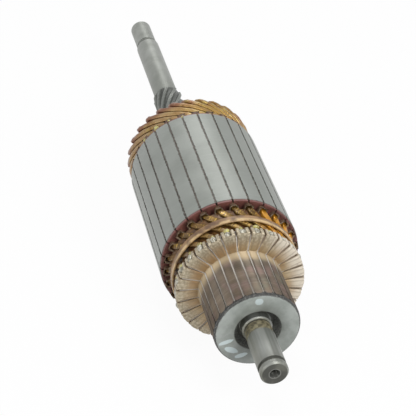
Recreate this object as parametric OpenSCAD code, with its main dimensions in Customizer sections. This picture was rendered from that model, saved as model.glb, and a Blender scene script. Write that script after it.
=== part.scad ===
// Armature of a small direct-current motor: a hairpin-wound slotted core and a moulded
// commutator on a splined shaft. The shaft axis runs along Y, with the commutator at -Y.
// The origin is on the axis, at the middle of the commutator-end journal. Stations along the shaft
// are given from the core's face on the commutator side.

/* [Core] */
// Outer diameter of the laminated core
core_d = 61.6; // [60:0.1:66]
// Length of the lamination stack
core_len = 70.4; // [40:0.1:120]
// Number of slots, which is also the number of hairpins and of commutator bars
slot_count = 27; // [23:2:27]
// Width of the slot mouth at the core surface
slot_mouth_w = 0.8; // [0.4:0.1:1.6]
// Radial thickness of the lips that close the slots
slot_lip_t = 1.6; // [1:0.1:2]
// Turn of the first slot about the shaft axis
slot_phase = -88.1; // [-180:0.1:180]

/* [Hairpins] */
// Width of the rectangular conductor, across the slot
wire_w = 2.3; // [1.6:0.05:2.35]
// Height of the rectangular conductor, along the radius
wire_h = 3.8; // [3:0.05:4]
// Slots between the two legs of a hairpin
coil_pitch = 7; // [7:1:8]
// Slots that the upper lead leans over on its way to its riser
lead_pitch_upper = 2; // [2:1:3]
// Reach of the hairpin heads beyond the core
head_reach = 18; // [17:0.1:20]
// Flare of the hairpin heads beyond the level of the legs
head_flare = 0.9; // [0:0.1:1.2]
// Share by which the conductor widens in the turn at the heads
head_spread = 0.3; // [0:0.05:0.4]
// Inner radius of the turn at the hairpin heads
head_turn_r = 0.7; // [0.6:0.05:0.9]
// Dip of the upper leads under the banding, from their level in the slots
lead_dip = 2.05; // [1.9:0.05:2.5]
// Share by which the upper leads lean faster near the core and slower near the risers
lead_bow = 0.35; // [0:0.05:0.4]

/* [Insulation] */
// Thickness of the fibre discs on the core's faces
disc_t = 1.0; // [0.5:0.1:1.4]
// Step of the fibre discs inside the core surface
disc_step = 0.3; // [0.1:0.1:1]
// Thickness of the slot liner paper
liner_t = 0.25; // [0.15:0.05:0.3]
// Thickness of the liner web between the two layers of conductors
liner_web_t = 0.2; // [0.1:0.05:0.4]
// Length of the liner cuffs beyond the discs
liner_cuff = 1.0; // [0.5:0.1:1.5]
// Width of the banding over the leads
band_w = 3.7; // [2:0.1:5]
// Radial thickness of the banding
band_t = 0.9; // [0.4:0.1:2]
// Distance from the core to the near edge of the banding
band_gap = 7.8; // [7:0.1:9]

/* [Commutator] */
// Diameter of the brush track
track_d = 36.5; // [31:0.1:37]
// Distance from the core to the risers
riser_gap = 16.8; // [16:0.1:22]
// Axial thickness of the risers
riser_t = 4.0; // [2:0.1:6]
// Height of the risers above the upper leads
riser_lip = 1.2; // [0.4:0.1:2]
// Length of the brush track, from the risers to the ends of the bars
track_len = 27.6; // [15:0.1:40]
// Diameter inside the copper bars
bar_inner_d = 26.1; // [23:0.1:28]
// Thickness of the insulation between two bars
bar_gap = 0.6; // [0.4:0.1:1.2]
// Depth that the insulation lies below the brush track
undercut = 0.4; // [0.1:0.1:1]
// Thickness of the moulding in front of the bars
face_t = 1.7; // [1:0.1:4]
// Diameter of the recess round the shaft in the moulding's face
recess_d = 19.8; // [17:0.1:24]
// Depth of the recess round the shaft
recess_depth = 3.6; // [1:0.1:10]

/* [Shaft] */
// Diameter of the shaft inside the core and the commutator
seat_d = 16; // [14:0.1:17]
// Diameter of the shoulder inside the commutator
shoulder_d = 12.9; // [12:0.1:13.5]
// Chamfer on the shoulder
shoulder_chamfer = 0.5; // [0.2:0.1:0.8]
// Diameter of the neck between the shoulder and the commutator-end journal
neck_d = 11.3; // [8.5:0.05:11.35]
// Length of the neck
neck_len = 5.9; // [1:0.1:8]
// Diameter of the commutator-end journal
journal_d = 11.7; // [9:0.05:11.9]
// Length of the commutator-end journal
journal_len = 16.9; // [8:0.1:30]
// Distance from the core to the inner end of the commutator-end journal
journal_gap = 55.5; // [50:0.1:70]
// Width of the snap ring groove
ring_groove_w = 1.9; // [1:0.1:3]
// Depth of the snap ring groove
ring_groove_depth = 0.85; // [0.4:0.05:1.5]
// Length of the collar between the groove and the end
collar_len = 2.5; // [1:0.1:4]
// Number of spline teeth
spline_teeth = 10; // [6:1:16]
// Outer diameter of the spline
spline_d = 14.8; // [13.8:0.1:15.8]
// Root diameter of the spline
spline_root_d = 12.6; // [12.3:0.1:13.2]
// Advance of the spline in one turn, right-handed
spline_lead = 99.6; // [60:0.2:300]
// Distance from the core to the spline
spline_gap = 26; // [24:0.5:40]
// Length of the spline
spline_len = 42.6; // [20:0.1:60]
// Diameter of the smooth track for the clutch
clutch_track_d = 11.94; // [11.2:0.01:12.1]
// Length of the smooth track
clutch_track_len = 53.6; // [20:0.1:90]
// Diameter of the drive-end pilot
pilot_d = 10.8; // [8:0.05:11]
// Length of the drive-end pilot
pilot_len = 19.6; // [10:0.1:40]
// Width of the relief groove beside the pilot
relief_w = 3.0; // [0.4:0.1:4]
// Depth of the relief groove below the pilot
relief_depth = 0.35; // [0.2:0.05:1]
// Chamfer on the shaft's ends
end_chamfer = 0.7; // [0.2:0.1:2]
// Diameter of the centre holes
centre_d = 4.4; // [2:0.1:5]
// Diameter of the drilled bottom of the centre holes
centre_drill_d = 1.8; // [0.8:0.1:2]

/* [Clearances] */
// Clearance of pressed and moulded fits, on each side
fit_gap = 0.02; // [0.01:0.01:0.05]
// Clearance of the conductor inside the liner and of the liner inside the slot, on each side
slot_gap = 0.05; // [0.03:0.01:0.15]
// Clearance of the conductor in the riser slot
lead_gap = 0.1; // [0.05:0.01:0.15]
// Clearance between the two layers of leads
layer_gap = 0.34; // [0.3:0.01:0.4]
// Clearance of the banding over the leads
band_seat_gap = 0.15; // [0.1:0.01:0.25]
// Straight stretch of the conductors beyond the liner cuffs
cuff_gap = 0.3; // [0.1:0.05:0.6]
// Level stretch of the leads on the core's side of the banding
band_lead_gap = 0.2; // [0.1:0.05:0.6]

/* [Hidden] */

function two_digits(k) = str(k < 10 ? "0" : "", k);

// Slots and bars: one pitch each, with every bar in line with a slot.
core_r = core_d / 2;
pitch = 360 / slot_count;
function slot_angle(k) = slot_phase + k * pitch;

// Radial stack in a slot, from the lips inwards: liner, upper leg, web, lower leg, liner.
slot_top = core_r - slot_lip_t;
liner_top = slot_top - slot_gap;
window_top = liner_top - liner_t;
window_h = wire_h + 2 * slot_gap;
leg_r_upper = window_top - slot_gap - wire_h / 2;
leg_step = window_h + liner_web_t;
leg_r_lower = leg_r_upper - leg_step;
liner_bottom = window_top - window_h - leg_step - liner_t;
slot_bottom = liner_bottom - slot_gap;
window_w = wire_w + 2 * slot_gap;
liner_w = window_w + 2 * liner_t;
slot_w = liner_w + 2 * slot_gap;

// Stations along the shaft on the commutator side, as distances from the core.
cuff_end = disc_t + liner_cuff;
riser_front = riser_gap + riser_t;
bar_end = riser_front + track_len;
face_end = bar_end + face_t;
lead_start = cuff_end + cuff_gap;
lead_end = riser_gap - slot_gap;

// Leads: the lower lead makes up what the wave winding still needs between its two risers.
lead_r_upper = leg_r_upper - lead_dip;
lead_r_lower = lead_r_upper - wire_h - layer_gap;
lead_pitch_lower = (slot_count - 1) / 2 - coil_pitch - lead_pitch_upper;
lead_ease = 0.16;
band_inner_r = lead_r_upper + wire_h / 2 + band_seat_gap;
band_edge = band_gap - band_lead_gap;

// Hairpin heads: a lean, a half-round turn from the upper to the lower layer, and a lean back.
// The bar swells a little into the turn, and hardly leans in it, so that neighbours pass.
turn_r = wire_h / 2 + head_turn_r;
turn_mid = (leg_r_upper + leg_r_lower) / 2 + head_flare;
turn_start = head_reach - turn_r - wire_h / 2;
lean_len = turn_start - lead_start;
turn_len = turn_r * PI;
head_path = 2 * lean_len + turn_len;
head_ease = 1.4;
turn_ease = 1.2;
turn_slow = 0.71;

// Risers and bars.
track_r = track_d / 2;
riser_r = lead_r_upper + wire_h / 2 + riser_lip;
riser_slot_w = wire_w + 2 * lead_gap;
riser_slot_bottom = lead_r_lower - wire_h / 2 - slot_gap;
bar_inner_r = bar_inner_d / 2;
riser_plate_r = riser_r - 1.6;
rear_flange_r = track_r - 1.2;

// Stations along the shaft on the drive side, measured from the core's commutator-side face.
spline_start = core_len + spline_gap;
spline_end = spline_start + spline_len;
track_end = spline_end + clutch_track_len;
pilot_start = track_end + relief_w;
shaft_end = pilot_start + pilot_len;
journal_end = journal_gap + journal_len;
origin_gap = journal_gap + journal_len / 2;
ring_end = journal_end + ring_groove_w;
shaft_tip = ring_end + collar_len;
neck_end = journal_gap - neck_len;
seat_end = face_end - recess_depth - 1;
tiny = 0.01;

$fa = 4;
$fs = 0.5;

// Turns a part drawn along Z so that its axis lies along Y, and moves the journal to the origin.
module along_shaft() {
    translate([0, origin_gap, 0]) rotate([-90, 0, 0]) children();
}

// A straight ring round the shaft, from z0 to z1.
module ring(inner, outer, z0, z1) {
    translate([0, 0, z0]) linear_extrude(z1 - z0) difference() {
        circle(r = outer, $fn = 120);
        circle(r = inner, $fn = 120);
    }
}

// ---- Shaft ----

// Half section of the turned shaft: pairs of radius and station.
module shaft_profile() {
    polygon([
        [0, -shaft_tip],
        [journal_d / 2 - end_chamfer, -shaft_tip],
        [journal_d / 2, -shaft_tip + end_chamfer],
        [journal_d / 2, -ring_end],
        [journal_d / 2 - ring_groove_depth, -ring_end],
        [journal_d / 2 - ring_groove_depth, -journal_end],
        [journal_d / 2, -journal_end],
        [journal_d / 2, -journal_gap],
        [neck_d / 2, -journal_gap],
        [neck_d / 2, -neck_end],
        [shoulder_d / 2 - shoulder_chamfer, -neck_end],
        [shoulder_d / 2, -neck_end + shoulder_chamfer],
        [shoulder_d / 2, -seat_end],
        [seat_d / 2, -seat_end],
        [seat_d / 2, spline_start - 2],
        [spline_root_d / 2 - 0.2, spline_start],
        [spline_root_d / 2 - 0.2, spline_end - 0.6],
        [clutch_track_d / 2, spline_end],
        [clutch_track_d / 2, track_end],
        [pilot_d / 2 - relief_depth, track_end],
        [pilot_d / 2 - relief_depth, pilot_start],
        [pilot_d / 2, pilot_start],
        [pilot_d / 2, shaft_end - end_chamfer],
        [pilot_d / 2 - end_chamfer, shaft_end],
        [0, shaft_end]
    ]);
}

// Radius over the spline teeth at a station: the teeth run out in a chamfer at both ends.
function tooth_r(z) = min(spline_d / 2,
    spline_root_d / 2 - 0.1 + min(z - spline_start, spline_end - z) * 0.9);

// One ring of the spline: four points a tooth, turned along the lead.
function spline_ring(z) = let(turn = 360 * (z - spline_start) / spline_lead, p = 360 / spline_teeth,
    root = spline_root_d / 2, tip = max(root, tooth_r(z)))
    [for (k = [0 : spline_teeth - 1], c = [[0, root], [0.12, tip], [0.46, tip], [0.58, root]])
        let(a = turn + (k + c[0]) * p) [c[1] * cos(a), c[1] * sin(a), z]];

// A closed skin over rings of n points each.
module skin(rings) {
    n = len(rings[0]);
    m = len(rings);
    polyhedron(
        points = [for (r = rings) each r],
        faces = concat(
            [[for (i = [0 : n - 1]) i]],
            [for (j = [0 : m - 2], i = [0 : n - 1], half = [0, 1])
                let(a = j * n + i, b = j * n + (i + 1) % n, c = b + n, d = a + n)
                half == 0 ? [a, c, b] : [a, d, c]],
            [[for (i = [n - 1 : -1 : 0]) (m - 1) * n + i]]),
        convexity = 6);
}

module spline() {
    steps = ceil(spline_len / 3);
    ends = [0, 0.45, 0.9, 1.35];
    middle = [for (i = [1 : steps - 1]) 1.35 + (spline_len - 2.7) * i / steps];
    stations = concat(ends, middle, [for (i = [3 : -1 : 0]) spline_len - ends[i]]);
    skin([for (s = stations) spline_ring(spline_start + s)]);
}

// Lathe centre hole: a 60 degree countersink with a short drilled bottom.
module centre_hole() {
    cone_h = centre_d / 2 / tan(30);
    translate([0, 0, -tiny]) cylinder(h = cone_h, r1 = centre_d / 2, r2 = 0);
    translate([0, 0, -tiny]) cylinder(h = cone_h + 1, d = centre_drill_d);
}

module shaft() {
    color("#94968e") along_shaft() difference() {
        union() {
            rotate_extrude($fn = 120) shaft_profile();
            spline();
        }
        translate([0, 0, -shaft_tip]) centre_hole();
        translate([0, 0, shaft_end]) mirror([0, 0, 1]) centre_hole();
    }
}

// ---- Core ----

// The open shape of all slots; the mouth runs out past the surface.
module slots_2d() {
    for (k = [0 : slot_count - 1]) rotate(slot_angle(k)) {
        translate([slot_bottom, -slot_w / 2]) square([slot_top - slot_bottom, slot_w]);
        translate([slot_top - 0.5, -slot_mouth_w / 2]) square([slot_lip_t + 2, slot_mouth_w]);
    }
}

module core_laminations() {
    color("#969b96") along_shaft() linear_extrude(core_len) difference() {
        circle(r = core_r, $fn = 180);
        circle(d = seat_d + 2 * fit_gap, $fn = 90);
        slots_2d();
    }
}

// Fibre disc: the outline of a lamination, a little smaller so that the core alone takes the wear.
module fibre_disc() {
    linear_extrude(disc_t) difference() {
        circle(r = core_r - disc_step, $fn = 180);
        circle(d = seat_d + 2 * fit_gap, $fn = 90);
        slots_2d();
    }
}

module end_insulators() {
    color("#643732") along_shaft() {
        translate([0, 0, -disc_t]) fibre_disc();
        translate([0, 0, core_len]) fibre_disc();
    }
}

// One liner: a folded tube with a web that keeps the two layers apart.
module slot_liner(k) {
    h = core_len + 2 * cuff_end;
    rotate(slot_angle(k)) translate([0, 0, -cuff_end]) linear_extrude(h) difference() {
        translate([liner_bottom, -liner_w / 2]) square([liner_top - liner_bottom, liner_w]);
        for (leg = [leg_r_lower, leg_r_upper])
            translate([leg - window_h / 2, -window_w / 2]) square([window_h, window_w]);
    }
}

module slot_liners() {
    color("#4f3b2a") along_shaft() for (k = [1 : slot_count]) slot_liner(k);
}

// ---- Hairpins ----

// Way done at w by a speed that grows evenly from 0 at a to 1 at b and then stays.
function ramped(w, a, b) = w < a ? 0 : w < b ? (w - a) * (w - a) / (2 * (b - a)) : w - (a + b) / 2;

// Share of a lead's lean that is done at the share u of its way.
function eased(u) = (ramped(u, 0, lead_ease) - ramped(u, 1 - lead_ease, 1)) / (1 - lead_ease);

// Share of an upper lead's lean, seen from its riser: slow there, and faster towards the core.
function bowed(v) = v - lead_bow * v * (1 - v);

// Smooth step from 0 to 1 for u from 0 to 1, level outside.
function smooth(u) = let(v = min(1, max(0, u))) v * v * (3 - 2 * v);

// Drop of a lead at the distance z before the core: it dips under the banding, then runs level.
function lead_drop(z) = lead_dip * smooth((z - lead_start) / (band_edge - lead_start));

// Pitches that the head has leaned at the way w along it.
function head_way(w) = ramped(w, 0, head_ease) - ramped(w, head_path - head_ease, head_path)
    - turn_slow * (ramped(w, lean_len - turn_ease, lean_len)
        - ramped(w, lean_len + turn_len, lean_len + turn_len + turn_ease));
function head_at(w) = -coil_pitch * head_way(w) / head_way(head_path);

// Radius of the head's middle line at the way w along a lean, from a leg to the turn.
function swell(leg, end, w) = leg + (end - leg) * smooth(w / lean_len);

// Station of the conductor's middle line, [z, r, pitches], for s from 0 to 9 along the hairpin:
// riser, upper lean, slot, head (three stretches), slot, lower lean, riser.
function station(s) =
    s < 1 ? [-riser_front + s * riser_t, lead_r_upper, lead_pitch_upper]
    : s < 2 ? let(z = lead_end + (s - 1) * (lead_start - lead_end))
        [-z, leg_r_upper - lead_drop(z), lead_pitch_upper * (1 - bowed(eased(s - 1)))]
    : s < 3 ? [-lead_start + (s - 2) * (core_len + 2 * lead_start), leg_r_upper, 0]
    : s < 4 ? let(w = (s - 3) * lean_len)
        [core_len + lead_start + w, swell(leg_r_upper, turn_mid + turn_r, w), head_at(w)]
    : s < 5 ? let(a = (s - 4) * 180, w = lean_len + (s - 4) * turn_len)
        [core_len + turn_start + turn_r * sin(a), turn_mid + turn_r * cos(a), head_at(w)]
    : s < 6 ? let(w = (6 - s) * lean_len)
        [core_len + lead_start + w, swell(leg_r_lower, turn_mid - turn_r, w), head_at(head_path - w)]
    : s < 7 ? [core_len + lead_start - (s - 6) * (core_len + 2 * lead_start), leg_r_lower, -coil_pitch]
    : s < 8 ? let(z = lead_start + (s - 7) * (lead_end - lead_start), share = lead_drop(z) / lead_dip)
        [-z, leg_r_lower - share * (leg_r_lower - lead_r_lower),
         -coil_pitch - lead_pitch_lower * eased(s - 7)]
    : [-lead_end - (s - 8) * (riser_front - lead_end), lead_r_lower, -coil_pitch - lead_pitch_lower];

// Unit vector, and the corner points of the conductor's section at s. The width lies in the surface
// that the way sweeps round the axis; the height stands along the radius on the legs, and swings
// round with the turn at the head, so the layers pass each other and the bar never rolls.
function unit(v) = v / norm(v);
function place(q, k) = let(a = slot_angle(k) + q[2] * pitch) [q[1] * cos(a), q[1] * sin(a), q[0]];
function section(s, k) = let(
    e = 0.004,
    q = station(s),
    q0 = station(max(0, s - e)),
    q1 = station(min(9, s + e)),
    ahead = unit(place(q1, k) - place(q0, k)),
    a = slot_angle(k) + q[2] * pitch,
    swing = min(180, max(0, (s - 4) * 180)),
    up = [cos(swing) * cos(a), cos(swing) * sin(a), sin(swing)],
    dz = q1[0] - q0[0],
    dr = q1[1] - q0[1],
    out = [dz * cos(a), dz * sin(a), -dr],
    side = unit(cross(ahead, out)),
    w = wire_w * (1 + head_spread * sin(swing)),
    p = place(q, k))
    [for (c = [[-1, -1], [1, -1], [1, 1], [-1, 1]]) p + side * c[0] * w / 2 + up * c[1] * wire_h / 2];

way = concat(
    [0],
    [for (i = [0 : 8]) 1 + i / 8],
    [for (i = [0 : 4]) 3 + i / 5],
    [for (i = [0 : 6]) 4 + i / 6],
    [for (i = [1 : 5]) 5 + i / 5],
    [for (i = [0 : 8]) 7 + i / 8],
    [9]);

module hairpin(k) {
    color("#a8732f") along_shaft() skin([for (s = way) section(s, k)]);
}

// ---- Commutator ----

// Wedge between the flanks of one bar, with half a gap taken off each side.
module wedge(gap) {
    apex = gap / 2 / sin(pitch / 2);
    far = core_r * 1.2;
    polygon([
        [apex, 0],
        [apex + far * cos(pitch / 2), far * sin(pitch / 2)],
        [apex + far * cos(pitch / 2), -far * sin(pitch / 2)]
    ]);
}

// Piece of a bar's section from one radius to another.
module bar_section(inner, outer, gap) {
    intersection() {
        difference() {
            circle(r = outer, $fn = 120);
            circle(r = inner, $fn = 120);
        }
        wedge(gap);
    }
}

module commutator_bar(k) {
    riser_slot_h = riser_r - riser_slot_bottom + 2;
    color("#aa967d") along_shaft() rotate(slot_angle(k)) difference() {
        union() {
            translate([0, 0, -bar_end]) linear_extrude(track_len + 1.5)
                bar_section(bar_inner_r, track_r, bar_gap);
            translate([0, 0, -riser_front]) linear_extrude(riser_t)
                bar_section(bar_inner_r + 1, riser_r, bar_gap + 0.05);
        }
        translate([riser_slot_bottom, -riser_slot_w / 2, -riser_front - 1])
            cube([riser_slot_h, riser_slot_w, riser_t + 2]);
    }
}

// Half section of the moulded hub: a flange in front of the bars, rounded at its rim, a recess
// round the shaft, and a low flange behind the risers.
module hub_profile() {
    bore = seat_d / 2 + fit_gap;
    hub = bar_inner_r - slot_gap;
    rim = track_r - 0.1;
    round = 1.2;
    recess_floor = face_end - recess_depth;
    polygon(concat(
        [[bore, -recess_floor], [recess_d / 2, -recess_floor], [recess_d / 2, -face_end]],
        [for (a = [0 : 15 : 90]) [rim - round + round * sin(a), -face_end + round - round * cos(a)]],
        [
            [rim, -bar_end - fit_gap],
            [hub, -bar_end - fit_gap],
            [hub, -riser_gap + fit_gap],
            [rear_flange_r, -riser_gap + fit_gap],
            [rear_flange_r, -riser_gap + 1.5],
            [bore, -riser_gap + 1.5]
        ]));
}

// Insulation plate between bar k and the next: L-shaped, low in the barrel, high in the risers.
module insulation_plate(k) {
    root = bar_inner_r + fit_gap;
    rotate(slot_angle(k) + pitch / 2) rotate([90, 0, 0])
        linear_extrude(bar_gap - 2 * fit_gap, center = true) polygon([
            [root, -bar_end],
            [track_r - undercut, -bar_end],
            [track_r - undercut, -riser_front + 0.3],
            [riser_plate_r, -riser_front + 0.3],
            [riser_plate_r, -riser_gap],
            [root, -riser_gap]
        ]);
}

// The hub and the plates that it holds, with the bars, between its two flanges.
module commutator_moulding() {
    color("#3a3c39") along_shaft() {
        rotate_extrude($fn = 120) hub_profile();
        for (k = [1 : slot_count]) insulation_plate(k);
    }
}

module front_banding() {
    color("#7e6450") along_shaft() ring(band_inner_r, band_inner_r + band_t, -band_gap - band_w, -band_gap);
}

shaft();
core_laminations();
end_insulators();
slot_liners();
commutator_moulding();
front_banding();
for (k = [1 : slot_count]) {
    hairpin(k);
    commutator_bar(k);
}
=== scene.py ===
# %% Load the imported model
import math
import random

import bmesh
import bpy
from mathutils import Matrix, Vector


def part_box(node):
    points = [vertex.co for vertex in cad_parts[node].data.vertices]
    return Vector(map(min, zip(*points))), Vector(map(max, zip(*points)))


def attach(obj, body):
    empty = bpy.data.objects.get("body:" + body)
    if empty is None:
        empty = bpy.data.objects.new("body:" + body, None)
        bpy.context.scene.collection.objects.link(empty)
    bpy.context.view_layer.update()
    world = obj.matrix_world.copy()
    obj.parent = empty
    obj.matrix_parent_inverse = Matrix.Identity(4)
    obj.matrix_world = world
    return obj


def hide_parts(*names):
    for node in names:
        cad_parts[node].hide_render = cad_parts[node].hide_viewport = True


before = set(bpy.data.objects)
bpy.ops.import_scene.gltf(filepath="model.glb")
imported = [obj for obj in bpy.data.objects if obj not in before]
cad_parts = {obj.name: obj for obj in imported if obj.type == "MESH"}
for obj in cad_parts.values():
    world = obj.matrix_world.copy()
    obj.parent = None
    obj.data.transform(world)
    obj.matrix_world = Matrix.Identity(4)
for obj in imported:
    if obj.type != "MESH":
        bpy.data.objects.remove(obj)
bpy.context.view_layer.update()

# %% [markdown]
# # A hairpin-wound motor armature
# The part spins about the Y axis: commutator at -Y, drive end at +Y. Everything below is placed
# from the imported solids, so we first read the distances that the later cells need. They are kept
# in millimetres, as on a workshop drawing, and stations along the shaft count from the core's
# face on the commutator side, so a station is negative in front of the core and positive behind.

# %% Measure the frame
MM = 0.001

bar_names = sorted(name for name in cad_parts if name.startswith("commutator_bar_"))
hairpin_names = sorted(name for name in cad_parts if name.startswith("hairpin_"))
core_low, core_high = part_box("core_laminations")
bar_boxes = [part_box(name) for name in bar_names]
hairpin_boxes = [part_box(name) for name in hairpin_names]
core_front = core_low[1]


def station(y):
    """Distance along the shaft from the core's front face, in millimetres."""
    return (y - core_front) / MM


core_r = (core_high[0] - core_low[0]) / 2 / MM
core_len = station(core_high[1])
riser_front = station(min(low[1] for low, high in hairpin_boxes))
riser_back = station(max(high[1] for low, high in bar_boxes))
riser_r = max(high[0] for low, high in bar_boxes) / MM
bar_end = station(min(low[1] for low, high in bar_boxes))
bar_points = [v.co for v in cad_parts[bar_names[0]].data.vertices]
track_r = max(math.hypot(p.x, p.z) for p in bar_points if station(p.y) < bar_end + 0.1) / MM
face = station(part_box("commutator_moulding")[0][1])
head_end = station(max(high[1] for low, high in hairpin_boxes))
band_front = station(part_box("front_banding")[0][1])
shaft_front, shaft_back = (station(corner[1]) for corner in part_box("shaft"))
print(f"core {core_r:.2f} x {core_len:.2f}, risers {riser_front:.2f} to {riser_back:.2f} r {riser_r:.2f}, "
      f"bars end {bar_end:.2f} r {track_r:.2f}, face {face:.2f}, heads {head_end:.2f}, "
      f"band {band_front:.2f}, shaft {shaft_front:.2f} to {shaft_back:.2f}")

# %% [markdown]
# Slots, hairpins and bars share one count and one pitch. A riser stands in line with its slot, so
# the same list of angles places everything that repeats round the axis.

# %% Slots round the axis
slot_count = len(bar_names)
slot_pitch = math.tau / slot_count
first_slot = math.radians(88.1)
slot_turns = [first_slot - k * slot_pitch for k in range(slot_count)]


def ways(turn):
    """Unit vectors pointing away from the axis and sideways at an angle round it."""
    return Vector((math.cos(turn), 0, math.sin(turn))), Vector((-math.sin(turn), 0, math.cos(turn)))


def nearest_turn(point, shift=0.0):
    """The angle of the slot nearest to a point, or of the gap between two bars with shift 0.5."""
    pitches = (math.atan2(point.z, point.x) - first_slot) / slot_pitch
    return (round(pitches + shift) - shift) * slot_pitch + first_slot


print(slot_count, "slots,", round(math.degrees(slot_pitch), 2), "degrees apart")

# %% [markdown]
# ## Camera
# A long lens far away keeps the shaft's two ends close to the same scale, as in a catalogue
# picture. The camera looks down the shaft from the commutator side, and its place counts from the
# core's front face in units of about one core radius.

# %% Camera
view_azimuth, view_elevation = math.radians(-12.616), math.radians(35.284)
back = Vector((math.sin(view_azimuth) * math.cos(view_elevation),
               -math.cos(view_azimuth) * math.cos(view_elevation), math.sin(view_elevation)))
right = Vector((0, 0, 1)).cross(back).normalized()
up = back.cross(right)
view_unit = 31 * MM
eye = Vector((0, core_front, 0)) + view_unit * (19.2836 * back - 0.3011 * right + 0.6922 * up)

camera_data = bpy.data.cameras.new("camera")
camera_data.lens, camera_data.sensor_width = 119.0, 36.0
camera_data.clip_start, camera_data.clip_end = 0.01, 20.0
camera = bpy.data.objects.new("camera", camera_data)
camera.matrix_world = Matrix((
    (right.x, up.x, back.x, eye.x), (right.y, up.y, back.y, eye.y),
    (right.z, up.z, back.z, eye.z), (0, 0, 0, 1)))
bpy.context.scene.collection.objects.link(camera)
bpy.context.scene.camera = camera
bpy.context.scene.view_settings.view_transform = "Standard"
print("camera at", [round(v, 3) for v in eye])

# %% [markdown]
# ## Shader maths
# A finish is mostly arithmetic on positions: how far from the axis, how far along a bar, how much
# noise. `Signal` wraps a shader socket so that this arithmetic can be written as Python
# expressions, and each operator adds the Math node it stands for. `Finish` holds one material and
# makes every other node through a single method.

# %% Signal
class Signal:
    """A shader socket that can be used in Python arithmetic."""
    def __init__(self, finish, socket):
        self.finish, self.socket = finish, socket

    def math(self, operation, *others):
        return self.finish.node("Math", {"operation": operation}, dict(enumerate((self, *others))))

    def __add__(self, other):
        return self.math("ADD", other)

    def __sub__(self, other):
        return self.math("SUBTRACT", other)

    def __mul__(self, other):
        return self.math("MULTIPLY", other)

    def __rsub__(self, other):
        return self.finish.node("Math", {"operation": "SUBTRACT"}, {0: other, 1: self})

    __radd__, __rmul__ = __add__, __mul__

    def abs(self):
        return self.math("ABSOLUTE")

    def sin(self):
        return self.math("SINE")

    def fract(self):
        return self.math("FRACT")

    def floor(self):
        return self.math("FLOOR")

    def root(self):
        return self.math("SQRT")

    def most(self, other):
        return self.math("MAXIMUM", other)

    def between(self, low, high):
        """0 at low, 1 at high, smooth in between and level outside; low may be the larger one."""
        step = self.finish.node("MapRange", {"interpolation_type": "SMOOTHSTEP"},
                                {"Value": self, "From Min": min(low, high), "From Max": max(low, high)})
        return 1.0 - step if low > high else step

    def inside(self, low, high, soft):
        """1 from low to high, falling to 0 over soft on both sides."""
        return self.between(low - soft, low) * self.between(high + soft, high)


print("signal ready")

# %% [markdown]
# ## Finish
# The object's own coordinates drive every pattern, so nothing slides when the part is turned or
# seen from another side. Three readings are used again and again: the station along the shaft,
# the distance from the axis, and the distance sideways from the middle of the nearest slot.

# %% Finish
class Finish:
    """One material, with the readings of place that every pattern starts from."""
    def __init__(self, name, **constants):
        self.material = bpy.data.materials.new(name)
        self.material.use_nodes = True
        self.tree = self.material.node_tree
        self.shader = self.tree.nodes["Principled BSDF"]
        for key, value in constants.items():
            self.shader.inputs[key.replace("_", " ").title()].default_value = value
        self.place = self.node("TexCoord", {}, {}, "Object")
        self.x, y, self.z = (self.node("SeparateXYZ", {}, {0: self.place}, i) * (1 / MM) for i in range(3))
        self.along = y - core_front / MM
        self.radius = (self.x * self.x + self.z * self.z).root()
        self.turned_by = self.z.math("ARCTAN2", self.x)

    def node(self, kind, settings, inputs, output=0):
        made = self.tree.nodes.new("ShaderNode" + kind)
        for key, value in settings.items():
            setattr(made, key, value)
        for key, value in inputs.items():
            if isinstance(value, Signal):
                self.tree.links.new(value.socket, made.inputs[key])
            else:
                made.inputs[key].default_value = value
        return Signal(self, made.outputs[output])

    def set(self, socket, signal):
        self.tree.links.new(signal.socket, self.shader.inputs[socket])

    def noise(self, size_mm, detail=3.0, stretch=(1, 1, 1)):
        moved = self.node("Mapping", {}, {"Vector": self.place, "Scale": stretch})
        return self.node("TexNoise", {}, {"Vector": moved, "Scale": 1 / (size_mm * MM), "Detail": detail})

    def ring_noise(self, size_mm, detail=3.0):
        """Noise that is the same all round the axis, so that it draws turned rings."""
        flat = self.node("CombineXYZ", {}, {0: self.radius, 1: self.along})
        return self.node("TexNoise", {}, {"Vector": flat, "Scale": 1 / size_mm, "Detail": detail})

    def pitches(self, shift):
        """The angle round the axis, counted in slot pitches from the first slot."""
        return (self.turned_by - first_slot) * (1 / slot_pitch) + (slot_count + shift)

    def off_slot(self, shift=0.5):
        """Millimetres sideways from the nearest slot's middle, or from a bar's edge with shift 0."""
        return (self.pitches(shift).fract() - 0.5).abs() * self.radius * slot_pitch

    def mix(self, share, first, second):
        first, second = (c if isinstance(c, Signal) else (*c, 1) for c in (first, second))
        return self.node("Mix", {"data_type": "RGBA"}, {0: share, 6: first, 7: second}, 2)

    def bump(self, height, depth_mm, strength=1.0):
        self.set("Normal", self.node("Bump", {}, {"Height": height, "Strength": strength,
                                                  "Distance": depth_mm * MM}))


print("finish ready")

# %% [markdown]
# ## Stage
# The floor must look like bare white paper but still catch the part's shadow. Raising the lamps
# would bleach the metal, so the eye, and anything as shiny as a mirror, instead sees a floor and a
# sky that glow by themselves.

# %% Floor and sky
def seen_directly(finish):
    """1 for rays from the eye or a mirror-like surface, 0 for light on its way."""
    camera_ray, glossy_ray, through_ray = (
        finish.node("LightPath", {}, {}, f"Is {kind} Ray") for kind in ("Camera", "Glossy", "Transmission"))
    return camera_ray.most(glossy_ray).most(through_ray)


class Sky(Finish):
    """The world's nodes, which have no shader and no place to read."""
    def __init__(self, world):
        self.tree = world.node_tree


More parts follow.
